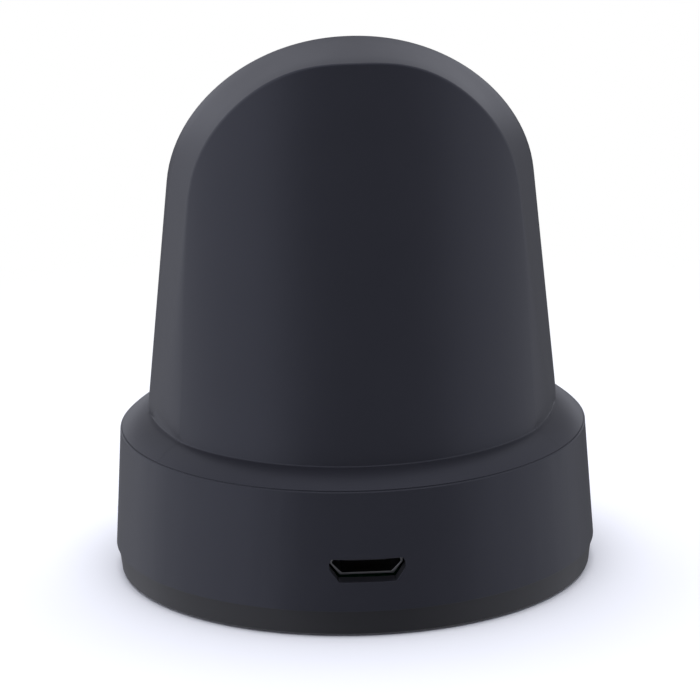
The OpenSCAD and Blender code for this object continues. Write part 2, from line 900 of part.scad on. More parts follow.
top_shell();
base_wall();
bottom_cover();
foot_pad();
face_plate();
contact_ring();
coil_carrier();
charging_coil();
ferrite_sheet();
holding_magnet();
carrier_screws();
coil_lead_a();
coil_lead_b();
lead_plug();
lead_header();
main_board();
socket_shell();
socket_tongue();
socket_contacts();
charge_controller();
power_transistors();
power_inductor();
resonant_capacitors();
filter_capacitors();
chip_resistors();
indicator_led();
light_pipe();
ballast_plate();
board_screws();
housing_screws();
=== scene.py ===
import json
import math
import bmesh
import bpy
from mathutils import Matrix, Vector


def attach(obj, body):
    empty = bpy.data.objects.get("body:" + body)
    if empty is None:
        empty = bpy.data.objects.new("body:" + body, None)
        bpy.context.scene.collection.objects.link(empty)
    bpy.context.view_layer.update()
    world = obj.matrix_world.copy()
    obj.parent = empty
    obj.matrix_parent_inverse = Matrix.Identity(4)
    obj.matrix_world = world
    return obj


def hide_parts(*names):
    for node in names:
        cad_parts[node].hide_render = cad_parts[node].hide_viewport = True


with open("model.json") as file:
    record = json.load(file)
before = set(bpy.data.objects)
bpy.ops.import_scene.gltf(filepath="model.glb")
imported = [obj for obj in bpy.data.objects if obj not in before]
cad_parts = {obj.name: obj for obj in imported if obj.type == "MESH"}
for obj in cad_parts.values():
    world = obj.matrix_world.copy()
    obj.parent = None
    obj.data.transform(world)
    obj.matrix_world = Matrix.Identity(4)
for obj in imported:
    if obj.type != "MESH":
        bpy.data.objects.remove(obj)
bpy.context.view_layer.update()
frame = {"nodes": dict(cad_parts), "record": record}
nodes = frame["nodes"]
mm = 0.001
# vertices nearer than this, in millimetres, become one
weld = 0.0005
print("frame loaded:", len(nodes), "nodes")


# Colours and nodes

def hexColour(code):
    def toLinear(c):
        return c / 12.92 if c <= 0.04045 else ((c + 0.055) / 1.055) ** 2.4
    return tuple(toLinear(int(code[i:i + 2], 16) / 255) for i in (1, 3, 5)) + (1.0,)


def addNode(tree, kind, settings, links=None):
    # a setting is an input, by name or by number, or else a property of the node
    node = tree.nodes.new(kind)
    for name, value in settings.items():
        if isinstance(name, int) or name in node.inputs:
            node.inputs[name].default_value = value
        else:
            setattr(node, name, value)
    for name, socket in (links or {}).items():
        tree.links.new(socket, node.inputs[name])
    return node


def newMaterial(name, surface):
    # a principled surface with object coordinates ready to use
    material = bpy.data.materials.new(name)
    material.use_nodes = True
    tree = material.node_tree
    tree.nodes.clear()
    place = addNode(tree, "ShaderNodeTexCoord", {}).outputs["Object"]
    shader = addNode(tree, "ShaderNodeBsdfPrincipled", surface)
    output = addNode(tree, "ShaderNodeOutputMaterial", {})
    tree.links.new(shader.outputs["BSDF"], output.inputs["Surface"])
    return material, tree, place, shader


def perMetre(sizeInMm):
    return 1000 / sizeInMm


# how the grain and the patches break up into finer ones
grainNoise = {"Detail": 2.0, "Roughness": 0.55}
patchNoise = {"Detail": 3.0}


def grainOn(tree, place, shader, grain):
    # fine bump, patches of slightly different gloss and a faint change of shade, at their real sizes
    noise = addNode(tree, "ShaderNodeTexNoise", {"Scale": perMetre(grain["size"]), **grainNoise},
                    {"Vector": place})
    bump = addNode(tree, "ShaderNodeBump", {"Strength": grain["strength"], "Distance": grain["height"] * mm},
                   {"Height": noise.outputs["Fac"]})
    tree.links.new(bump.outputs["Normal"], shader.inputs["Normal"])
    patch = addNode(tree, "ShaderNodeTexNoise", {"Scale": perMetre(grain["patch"]), **patchNoise},
                    {"Vector": place})
    spread = addNode(tree, "ShaderNodeMapRange", {"To Min": grain["roughness"][0],
                     "To Max": grain["roughness"][1]}, {"Value": patch.outputs["Fac"]})
    tree.links.new(spread.outputs["Result"], shader.inputs["Roughness"])
    shade = addNode(tree, "ShaderNodeMix", {"data_type": "RGBA", "A": hexColour(grain["shades"][0]),
                    "B": hexColour(grain["shades"][1])}, {"Factor": patch.outputs["Fac"]})
    tree.links.new(shade.outputs["Result"], shader.inputs["Base Color"])


# Camera: from behind and a little above, at the photograph's angle

photoView = {"distance": 0.7, "elevation": 16.80, "turn": 2.78, "centreHeight": 0.025,
             "aim": (0.000135, 0, 0.0248055), "roll": -1.187, "lens": 320.2, "sensorWidth": 36}


def makeCamera(view):
    climb = math.radians(view["elevation"])
    turn = Matrix.Rotation(-math.radians(view["turn"]), 4, "Z")
    eye = turn @ Vector((0, view["distance"] * math.cos(climb),
                         view["centreHeight"] + view["distance"] * math.sin(climb)))
    aim = turn @ Vector(view["aim"])
    data = bpy.data.cameras.new("photoCamera")
    data.lens = view["lens"]
    data.sensor_width = view["sensorWidth"]
    camera = bpy.data.objects.new("photoCamera", data)
    facing = (aim - eye).to_track_quat("-Z", "Y").to_matrix().to_4x4()
    camera.matrix_world = (Matrix.Translation(eye) @ facing
                           @ Matrix.Rotation(math.radians(view["roll"]), 4, "Z"))
    bpy.context.scene.collection.objects.link(camera)
    bpy.context.scene.camera = camera


makeCamera(photoView)
print("camera placed")


# Studio: soft walls at both sides, a dim sector round the camera, a grey wall behind, a lamp above.
# A pair of levels is for the right and the left of the picture

studio = {
    # the side walls, darker below lowTo than above highFrom, which are heights on a unit sphere
    "tint": "#eff1fb", "low": (0.69, 0.79), "high": (0.78, 1.12), "lowTo": -0.33, "highFrom": -0.12,
    "sideBlend": 0.3,
    # the sectors, by the cosine of the angle from +Y turned by so many degrees
    "dim": 0.25, "dimTurn": 8.0, "dimFrom": 0.5, "dimTo": 0.82,
    "behind": (0.2, 0.34), "behindTurn": -3.0, "behindFrom": -0.55, "behindTo": -0.9,
    # a bright strip low on the wall behind, and the ceiling
    "horizon": 1.15, "horizonAt": 0.08, "horizonFrom": 0.17, "horizonTo": 0.05,
    "overhead": 0.74, "overheadFrom": 0.4, "overheadTo": 0.7,
    # the white backdrop and the pale table, which fades into it between these distances from the dock
    "backdrop": "#ffffff", "backdropLevel": 1.0, "floorColour": "#f3f4fa", "floorRadius": 2.5,
    "floorSegments": 96, "fadeFrom": 0.035, "fadeTo": 0.13,
    "lamps": [{"name": "topLamp", "at": (0.0, 0.0, 0.9), "size": 0.9, "power": 6.2}]}


def rayKinds(tree, *kinds):
    # 1 for a ray of any of these kinds, 0 for every other
    path = addNode(tree, "ShaderNodeLightPath", {})
    found = path.outputs[kinds[0]]
    for kind in kinds[1:]:
        found = addNode(tree, "ShaderNodeMath", {"operation": "MAXIMUM"},
                        {0: found, 1: path.outputs[kind]}).outputs[0]
    return found


def smoothRange(tree, value, fromLow, fromHigh, low=0.0, high=1.0):
    # low until the value reaches fromLow, high past fromHigh, and an even change between
    return addNode(tree, "ShaderNodeMapRange", {"interpolation_type": "SMOOTHSTEP", "From Min": fromLow,
                   "From Max": fromHigh, "To Min": low, "To Max": high}, {"Value": value}).outputs["Result"]


def mixed(tree, kind, factor, low, high):
    # each of low and high is a value or the socket it comes from
    mix = addNode(tree, "ShaderNodeMix", {"data_type": kind})
    tree.links.new(factor, mix.inputs["Factor"])
    ends = [socket for socket in mix.inputs if socket.enabled and socket.name in ("A", "B")]
    for socket, value in zip(ends, (low, high)):
        if isinstance(value, bpy.types.NodeSocket):
            tree.links.new(value, socket)
        else:
            socket.default_value = value
    return next(socket for socket in mix.outputs if socket.enabled)


def makeWorld(settings):
    world = bpy.data.worlds.new("softRoom")
    world.use_nodes = True
    tree = world.node_tree
    tree.nodes.clear()
    way = addNode(tree, "ShaderNodeTexCoord", {}).outputs["Generated"]

    def sector(turn, start, end):
        # 0 outside start and 1 past end, by the cosine of the angle from +Y turned by so many degrees
        middle = (-math.sin(math.radians(turn)), math.cos(math.radians(turn)), 0)
        nearness = addNode(tree, "ShaderNodeVectorMath", {"operation": "DOT_PRODUCT", 1: middle},
                           {0: way})
        return smoothRange(tree, nearness.outputs["Value"], start, end)

    dim = sector(settings["dimTurn"], settings["dimFrom"], settings["dimTo"])
    behind = sector(settings["behindTurn"], settings["behindFrom"], settings["behindTo"])
    axes = addNode(tree, "ShaderNodeSeparateXYZ", {}, {"Vector": way})
    blend = settings["sideBlend"]
    low = smoothRange(tree, axes.outputs["X"], -blend, blend, *settings["low"])
    high = smoothRange(tree, axes.outputs["X"], -blend, blend, *settings["high"])
    rise = smoothRange(tree, axes.outputs["Z"], settings["lowTo"], settings["highFrom"])
    sides = mixed(tree, "FLOAT", rise, low, high)
    wall = smoothRange(tree, axes.outputs["X"], -blend, blend, *settings["behind"])
    overhead = smoothRange(tree, axes.outputs["Z"], settings["overheadFrom"], settings["overheadTo"])
    offHorizon = addNode(tree, "ShaderNodeMath", {"operation": "SUBTRACT", 1: settings["horizonAt"]},
                         {0: axes.outputs["Z"]})
    offHorizon = addNode(tree, "ShaderNodeMath", {"operation": "ABSOLUTE"}, {0: offHorizon.outputs[0]})
    horizon = smoothRange(tree, offHorizon.outputs[0], settings["horizonFrom"], settings["horizonTo"])
    wall = mixed(tree, "FLOAT", horizon, wall, settings["horizon"])
    room = mixed(tree, "FLOAT", dim, sides, settings["dim"])
    room = mixed(tree, "FLOAT", behind, room, wall)
    room = mixed(tree, "FLOAT", overhead, room, settings["overhead"])
    # the camera sees the backdrop where gloss sees the room
    direct = rayKinds(tree, "Is Camera Ray", "Is Transmission Ray")
    colour = mixed(tree, "RGBA", direct, hexColour(settings["tint"]), hexColour(settings["backdrop"]))
    strength = mixed(tree, "FLOAT", direct, room, settings["backdropLevel"])
    sky = addNode(tree, "ShaderNodeBackground", {}, {"Color": colour, "Strength": strength})
    output = addNode(tree, "ShaderNodeOutputWorld", {})
    tree.links.new(sky.outputs["Background"], output.inputs["Surface"])
    bpy.context.scene.world = world


def makeFloor(settings):
    bm = bmesh.new()
    bmesh.ops.create_circle(bm, cap_ends=True, radius=settings["floorRadius"],
                            segments=settings["floorSegments"])
    mesh = bpy.data.meshes.new("studioFloor")
    bm.to_mesh(mesh)
    bm.free()
    floor = bpy.data.objects.new("studioFloor", mesh)
    bpy.context.scene.collection.objects.link(floor)
    material = bpy.data.materials.new("paleTable")
    material.use_nodes = True
    tree = material.node_tree
    tree.nodes.clear()
    place = addNode(tree, "ShaderNodeTexCoord", {}).outputs["Object"]
    reach = addNode(tree, "ShaderNodeVectorMath", {"operation": "LENGTH"}, {0: place})
    fade = smoothRange(tree, reach.outputs["Value"], settings["fadeFrom"], settings["fadeTo"])
    amount = addNode(tree, "ShaderNodeMath", {"operation": "MULTIPLY"},
                     {0: fade, 1: rayKinds(tree, "Is Camera Ray", "Is Transmission Ray")})
    table = addNode(tree, "ShaderNodeBsdfDiffuse", {"Color": hexColour(settings["floorColour"])})
    white = addNode(tree, "ShaderNodeEmission", {"Color": hexColour(settings["backdrop"]),
                    "Strength": settings["backdropLevel"]})
    shown = addNode(tree, "ShaderNodeMixShader", {}, {0: amount.outputs[0], 1: table.outputs[0],
                    2: white.outputs[0]})
    # gloss on the dock shows the room in place of the table
    clear = addNode(tree, "ShaderNodeBsdfTransparent", {})
    surface = addNode(tree, "ShaderNodeMixShader", {}, {0: rayKinds(tree, "Is Glossy Ray"),
                      1: shown.outputs[0], 2: clear.outputs[0]})
    output = addNode(tree, "ShaderNodeOutputMaterial", {})
    tree.links.new(surface.outputs[0], output.inputs["Surface"])
    mesh.materials.append(material)


def makeLamps(settings):
    for lamp in settings["lamps"]:
        data = bpy.data.lights.new(lamp["name"], "AREA")
        data.shape = "DISK"
        data.size = lamp["size"]
        data.energy = lamp["power"]
        light = bpy.data.objects.new(lamp["name"], data)
        light.location = lamp["at"]
        light.rotation_euler = (-Vector(lamp["at"])).to_track_quat("-Z", "Y").to_euler()
        # the lamp gives the soft shadow, and gloss shows the room alone
        light.visible_glossy = False
        bpy.context.scene.collection.objects.link(light)


makeWorld(studio)
makeFloor(studio)
makeLamps(studio)
bpy.context.scene.view_settings.view_transform = "Standard"
print("studio lit")


# The top shell: a smooth skin over the hollow of the CAD moulding. Millimetres and degrees

topShell = {
    # heights of underside and deck, and the lip, a low upright edge round the shoulder
    "foot": 16.55, "deck": 18.4, "lip": 0.1, "outerRadius": 26.0, "skirtRadius": 24.08,
    "barrelRadius": 22.96, "barrelDraft": 0.010163, "faceTilt": 12.0, "seatRim": 0.3,
    # arch outlines of face and back: power squares them off, flare spreads their legs
    "face": {"halfWidth": 20.31, "height": 29.2, "rise": 17.05, "power": 2.06, "flare": 0.095},
    "back": {"halfWidth": 15.13, "height": 28.562, "rise": 16.7, "power": 2.76, "flare": 0.116},
    "backPlane": 23.96,
    # the rounding between band and barrel, wide at the foot and narrow at the crown
    "blendAtCrown": 0.27, "blendAtFoot": 3.9, "blendUntil": 1.1,
    # the shoulder starts at this slope, and a small fillet leads to it from the barrel, which
    # sets in rootClear degrees behind the front corners and is full rootFade degrees further on
    "slope": 12.0, "rootFillet": 0.2, "rootClear": 1.5, "rootFade": 8.0,
    # how finely the skin is divided, and how its columns crowd towards foot and crown
    "legColumns": 16, "legCrowding": 1.15, "crownColumns": 44, "crownCrowding": 1.6, "rimSteps": 4,
    "bandSteps": 4, "blendSteps": 8, "barrelSteps": 5, "rootSteps": 3, "shoulderSteps": 16,
    "frontSteps": 72, "sharpFrom": 32.0,
    # the crease is searched for from this share of the way back, by so many halvings
    "creaseFrom": 0.19, "halvings": 40,
    # how near a point on a plane lies to it, the least rise between columns, the digits of an angle
    "onPlane": 0.002, "leastRise": 0.1, "angleDigits": 4,
    # the direction along which the finished mesh is put in order
    "orderWay": (0.27, 0.61, 0.74)}
tilt = math.radians(topShell["faceTilt"])
slope = math.radians(topShell["slope"])
faceOut = Vector((0, -math.cos(tilt), math.sin(tilt)))
faceUp = Vector((0, math.sin(tilt), math.cos(tilt)))
faceFoot = Vector((0, 0, topShell["deck"]))


def offFace(point):
    return abs((point - faceFoot).dot(faceOut))


def barrelRadius(z):
    return topShell["barrelRadius"] - (z - topShell["deck"]) * topShell["barrelDraft"]


def onBarrel(point):
    # the point moved along its radius to the barrel's surface
    out = Vector((point.x, point.y, 0)).normalized() * barrelRadius(point.z)
    return Vector((out.x, out.y, point.z))


def archAt(arch, inset, leg, turn):
    # leg runs from 1 at the foot to 0 at the springing line, turn from 0 there to 90 degrees at the crown
    power = 2 / arch["power"]
    across, up = max(math.cos(turn), 0) ** power, math.sin(turn) ** power
    half = arch["halfWidth"] - inset + arch["flare"] * (arch["height"] * leg - (arch["rise"] - inset) * up)
    return across * half, arch["height"] * (1 - leg) + (arch["rise"] - inset) * up


def backTurn(turn):
    # the place on the back outline that faces the same way as this one on the face
    face, back = topShell["face"], topShell["back"]
    if turn <= 0 or turn >= math.pi / 2:
        return turn
    bend = math.tan(turn) ** (2 - 2 / face["power"]) * face["halfWidth"] / face["rise"] / math.cos(tilt)
    return math.atan((bend * back["rise"] / back["halfWidth"]) ** (1 / (2 - 2 / back["power"])))


def facePoint(leg, turn, inset, depth):
    across, up = archAt(topShell["face"], inset, leg, turn)
    point = faceFoot + faceUp * up - faceOut * depth + Vector((across, 0, 0))
    inside = barrelRadius(point.z) - inset
    if Vector((point.x, point.y)).length > inside:
        point.x = math.sqrt(inside ** 2 - point.y ** 2)
    return point


def creasePoint(leg, turn):
    # where the straight line between face and back outline leaves the barrel
    start = facePoint(leg, turn, 0, topShell["seatRim"])
    across, up = archAt(topShell["back"], 0, leg, backTurn(turn))
    end = Vector((across, topShell["backPlane"], topShell["deck"] + up))
    low, high = topShell["creaseFrom"], 1.0
    for i in range(topShell["halvings"]):
        middle = (low + high) / 2
        point = start.lerp(end, middle)
        if Vector((point.x, point.y)).length < barrelRadius(point.z):
            low = middle
        else:
            high = middle
    return start.lerp(end, low)


def footHeight(point):
    # the fillet round the upright fades out towards its two front corners
    angle = math.degrees(math.atan2(point.y, abs(point.x)))
    share = min(max((angle - topShell["rootClear"]) / topShell["rootFade"], 0), 1)
    height = topShell["rootFillet"] * (1 / math.cos(slope) - math.tan(slope))
    return topShell["deck"] + height * share * share * (3 - 2 * share)


def uprightColumn(leg, turn, tangent):
    # one strip of points from the rim round the face, over the band, down the barrel to the fillet
    size = topShell["blendAtCrown"]
    along = 1 - leg + turn * 2 / math.pi
    if along < topShell["blendUntil"]:
        size += topShell["blendAtFoot"] * (1 - along / topShell["blendUntil"]) ** 2
    points = []
    for i in range(topShell["rimSteps"]):
        angle = math.pi / 2 * i / topShell["rimSteps"]
        points.append(facePoint(leg, turn, topShell["seatRim"] * (1 - math.sin(angle)),
                                topShell["seatRim"] * (1 - math.cos(angle))))
    edge = facePoint(leg, turn, 0, topShell["seatRim"])
    crease = creasePoint(leg, turn)
    bandWay = (edge - crease).normalized()
    bandWay = (bandWay - tangent * bandWay.dot(tangent)).normalized()
    radial = Vector((crease.x, crease.y, 0)).normalized()
    barrelWay = tangent.cross(radial).normalized()
    bandEnd = crease + bandWay * size
    barrelEnd = onBarrel(crease + barrelWay * size)
    points += [edge.lerp(bandEnd, i / topShell["bandSteps"]) for i in range(topShell["bandSteps"])]
    for i in range(topShell["blendSteps"]):
        share = i / topShell["blendSteps"]
        points.append(bandEnd.lerp(crease, share).lerp(crease.lerp(barrelEnd, share), share))
    foot = onBarrel(Vector((barrelEnd.x, barrelEnd.y, footHeight(barrelEnd))))
    points += [onBarrel(barrelEnd.lerp(foot, i / topShell["barrelSteps"]))
               for i in range(topShell["barrelSteps"] + 1)]
    return points


def uprightColumns():
    legs, crown = topShell["legColumns"], topShell["crownColumns"]
    places = [(1 - (i / legs) ** topShell["legCrowding"], 0) for i in range(legs)]
    # the columns crowd towards the crown, where the back outline bends fastest
    places += [(0, math.pi / 2 * (1 - (1 - i / crown) ** topShell["crownCrowding"]))
               for i in range(crown + 1)]
    creases = [creasePoint(*place) for place in places]
    columns = []
    for i, place in enumerate(places):
        before, after = creases[max(i - 1, 0)], creases[min(i + 1, len(places) - 1)]
        tangent = Vector((-1, 0, 0)) if i == len(places) - 1 else (after - before).normalized()
        columns.append(uprightColumn(*place, tangent))
    # the first column lies along the top of the fillet
    for point, above in zip(columns[0], columns[1]):
        lift = (footHeight(point) - point.z) / max(above.z - point.z, topShell["leastRise"])
        point.xyz = point.lerp(above, lift) if abs(lift) < 1 else point
    for column in columns:
        column[-1].z = footHeight(column[-1])
    for point in columns[0][-topShell["barrelSteps"] - 1:]:
        point.xyz = columns[0][-1]
    for point in columns[-1]:
        point.x = 0
    return columns


def hollowOf(bm, node):
    # the inside of the CAD moulding: its outer skin, rim and underside are taken off
    bm.from_mesh(node.data)
    bmesh.ops.transform(bm, matrix=Matrix.Scale(1 / mm, 4), verts=bm.verts)
    bmesh.ops.remove_doubles(bm, verts=bm.verts, dist=weld)
    near = topShell["onPlane"]
    rim = {face for face in bm.faces if all(offFace(vert.co) < near for vert in face.verts)}
    under = {face for face in bm.faces
             if all(abs(vert.co.z - topShell["foot"]) < near for vert in face.verts)
             and face.calc_center_median().xy.length > topShell["skirtRadius"]}
    skin = rim | under
    front = [max(bm.faces, key=lambda face: face.calc_center_median().z if face not in skin else 0)]
    while front:
        face = front.pop()
        if face not in skin:
            skin.add(face)
            front += [other for edge in face.edges for other in edge.link_faces if other not in skin]
    bmesh.ops.delete(bm, geom=[face for face in bm.faces if face in skin], context="FACES")
    return [edge for edge in bm.edges if edge.is_boundary]


def weaveUpright(bm, columns):
    # the columns side by side are a grid, and the other half of the upright is its mirror image
    tall, wide = len(columns) - 1, len(columns[0]) - 1
    made = bmesh.ops.create_grid(bm, x_segments=wide, y_segments=tall, size=0.5)["verts"]
    for vert in made:
        vert.co = columns[round((vert.co.y + 0.5) * tall)][round((vert.co.x + 0.5) * wide)]
    fresh = set(made)
    woven = made + [item for item in [*bm.edges, *bm.faces] if set(item.verts) <= fresh]
    bmesh.ops.mirror(bm, geom=woven, axis="X", merge_dist=weld)
    bmesh.ops.remove_doubles(bm, verts=bm.verts, dist=weld)


def layDeck(bm, footEdges, hollow, cornerDepth):
    # the flat deck before the upright: its front edge is spun round from one front corner to the other
    cornerEdges = [edge for edge in footEdges if max(vert.co.y for vert in edge.verts) < cornerDepth + weld]
    first = bm.verts.new((topShell["barrelRadius"], 0, topShell["deck"]))
    arc = bmesh.ops.spin(bm, geom=[first], axis=(0, 0, -1), cent=(0, 0, 0), angle=math.pi,
                         steps=topShell["frontSteps"], use_duplicate=False)["geom_last"]
    last = next(item for item in arc if isinstance(item, bmesh.types.BMVert))
    frontEdges = [edge for edge in bm.edges if not edge.link_faces and edge not in hollow]
    corners = {vert for edge in cornerEdges for vert in edge.verts}
    ends = sorted((vert for vert in corners if vert.co.y > cornerDepth - weld), key=lambda vert: vert.co.x)
    sills = sorted((vert for vert in corners if vert.co.y < weld), key=lambda vert: vert.co.x)
    frontEdges += [bm.edges.new((last, ends[0])), bm.edges.new((ends[-1], first))]
    sill = bm.edges.new(sills)
    deck = bmesh.ops.edgeloop_fill(bm, edges=frontEdges + cornerEdges + [sill])["faces"]
    ring = frontEdges + [edge for edge in footEdges if edge not in cornerEdges]
    return deck, sill, ring


def growRow(bm, row, place):
    # extrudes a chain of edges and puts each new vertex where place says
    made = bmesh.ops.extrude_edge_only(bm, edges=row)["geom"]
    fresh = {item for item in made if isinstance(item, bmesh.types.BMVert)}
    for vert in fresh:
        vert.co = place(vert.co)
    return [item for item in made if isinstance(item, bmesh.types.BMEdge) and set(item.verts) <= fresh]


def shoulderRows():
    # radius and height of each ring from the fillet to the underside: the shoulder falls ever more steeply
    wide = topShell["outerRadius"] - topShell["barrelRadius"]
    first = wide * math.tan(slope)
    rest = topShell["deck"] - topShell["foot"] - topShell["lip"] - first
    start = topShell["rootFillet"] / wide
    rows = []
    for i in range(1, topShell["shoulderSteps"] + 1):
        share = start + (1 - start) * i / topShell["shoulderSteps"]
        rows.append((topShell["barrelRadius"] + wide * share,
                     topShell["deck"] - first * share - rest * share * share))
    return rows + [(topShell["outerRadius"], topShell["foot"])]


def growShoulder(bm, ring):
    # rows of the fillet, each between its foot on the barrel and the shoulder, then the shoulder's own
    touch = topShell["barrelRadius"] + topShell["rootFillet"] * (1 - math.sin(slope))
    touchHeight = topShell["deck"] - (touch - topShell["barrelRadius"]) * math.tan(slope)

    def angleOf(at):
        return round(math.atan2(at.y, at.x), topShell["angleDigits"])

    feet = {angleOf(vert.co): vert.co.copy() for edge in ring for vert in edge.verts}

    def filletPoint(at, share):
        foot = feet[angleOf(at)]
        corner = Vector((foot.x, foot.y, topShell["deck"]))
        outer = foot.xy.normalized() * touch
        outer = Vector((outer.x, outer.y, touchHeight))
        return foot.lerp(corner, share).lerp(corner.lerp(outer, share), share)

    def ringPoint(at, radius, height):
        out = at.xy.normalized() * radius
        return Vector((out.x, out.y, height))

    for i in range(topShell["rootSteps"]):
        ring = growRow(bm, ring, lambda at: filletPoint(at, (i + 1) / topShell["rootSteps"]))
    for radius, height in shoulderRows():
        ring = growRow(bm, ring, lambda at: ringPoint(at, radius, height))
    return ring


def putInOrder(bm, way):
    # extruded rows come in any order, and sorted by place the mesh is the same in every run
    bm.verts.sort(key=lambda vert: vert.co.dot(way))
    bm.edges.sort(key=lambda edge: (edge.verts[0].co + edge.verts[1].co).dot(way))
    bm.faces.sort(key=lambda face: face.calc_center_median().dot(way))


def buildTopShell():
    bm = bmesh.new()
    openEdges = hollowOf(bm, nodes["top_shell"])
    seatLoop = [edge for edge in openEdges if offFace(edge.verts[0].co) < topShell["onPlane"]]
    skirtLoop = [edge for edge in openEdges if edge not in seatLoop]
    hollow = set(seatLoop) | set(skirtLoop)
    columns = uprightColumns()
    weaveUpright(bm, columns)
    border = [edge for edge in bm.edges if edge.is_boundary and edge not in hollow]
    rimEdges = [edge for edge in border if all(offFace(vert.co) < weld for vert in edge.verts)]
    footEdges = [edge for edge in border if edge not in rimEdges]
    deck, sill, ring = layDeck(bm, footEdges, hollow, columns[0][topShell["rimSteps"]].y)
    ring = growShoulder(bm, ring)
    rim = bmesh.ops.triangle_fill(bm, edges=rimEdges + [sill] + seatLoop, use_beauty=True)["geom"]
    under = bmesh.ops.triangle_fill(bm, edges=ring + skirtLoop, use_beauty=True)["geom"]
    flat = {item for item in deck + rim + under if isinstance(item, bmesh.types.BMFace)}
    bmesh.ops.recalc_face_normals(bm, faces=bm.faces)
    for edge in bm.edges:
        edge.smooth = (edge.calc_face_angle(0) < math.radians(topShell["sharpFrom"])
                       and len(set(edge.link_faces) & flat) != 1)
    putInOrder(bm, Vector(topShell["orderWay"]))
    return bm


def finishPiece(bm, name, material, node):
    # the mesh in millimetres becomes a piece in metres that stands for its CAD node
    bmesh.ops.transform(bm, matrix=Matrix.Scale(mm, 4), verts=bm.verts)
    for face in bm.faces:
        face.smooth = True
        face.material_index = 0
    mesh = bpy.data.meshes.new(name)
    bm.to_mesh(mesh)
    bm.free()
    mesh.materials.append(material)
    piece = bpy.data.objects.new(name, mesh)
    bpy.context.scene.collection.objects.link(piece)
    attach(piece, "root")
    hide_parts(node)
    return piece


# Small edge roundings on the other pieces that show, in millimetres

softened = {"base_wall": {"piece": "baseWallRing", "round": 0.14},
            "bottom_cover": {"piece": "bottomCoverTray", "round": 0.14},
            "foot_pad": {"piece": "footPadRing", "round": 0.2},
            "face_plate": {"piece": "facePlateDish", "round": 0.12},
            "socket_shell": {"piece": "socketSleeve", "round": 0.05}}
# angles in degrees: what is rounded, what counts as flat, and what is still shaded sharp afterwards
edgeFinish = {"sharpFrom": 25.0, "flatWithin": 0.3, "shadedSharpFrom": 35.0, "segments": 3}


def softenedCopy(node, size):
    # a merged copy of a CAD node whose sharp edges are rounded as a mould leaves them
    bm = bmesh.new()
    bm.from_mesh(node.data)
    bmesh.ops.transform(bm, matrix=Matrix.Scale(1 / mm, 4), verts=bm.verts)
    bmesh.ops.remove_doubles(bm, verts=bm.verts, dist=weld)
    bmesh.ops.dissolve_limit(bm, angle_limit=math.radians(edgeFinish["flatWithin"]), verts=bm.verts,
                             edges=bm.edges, use_dissolve_boundaries=False)
    sharp = [edge for edge in bm.edges if edge.calc_face_angle(0) > math.radians(edgeFinish["sharpFrom"])]
    bmesh.ops.bevel(bm, geom=sharp, offset=size, offset_type="OFFSET", affect="EDGES", profile=0.5,
                    segments=edgeFinish["segments"], clamp_overlap=True, material=-1)
    for edge in bm.edges:
        edge.smooth = edge.calc_face_angle(0) < math.radians(edgeFinish["shadedSharpFrom"])
    return bm


# Materials: what each piece is made of, and how its surface was made.
# Spacing and depth of the grain (size, height) and width of the patches are in millimetres

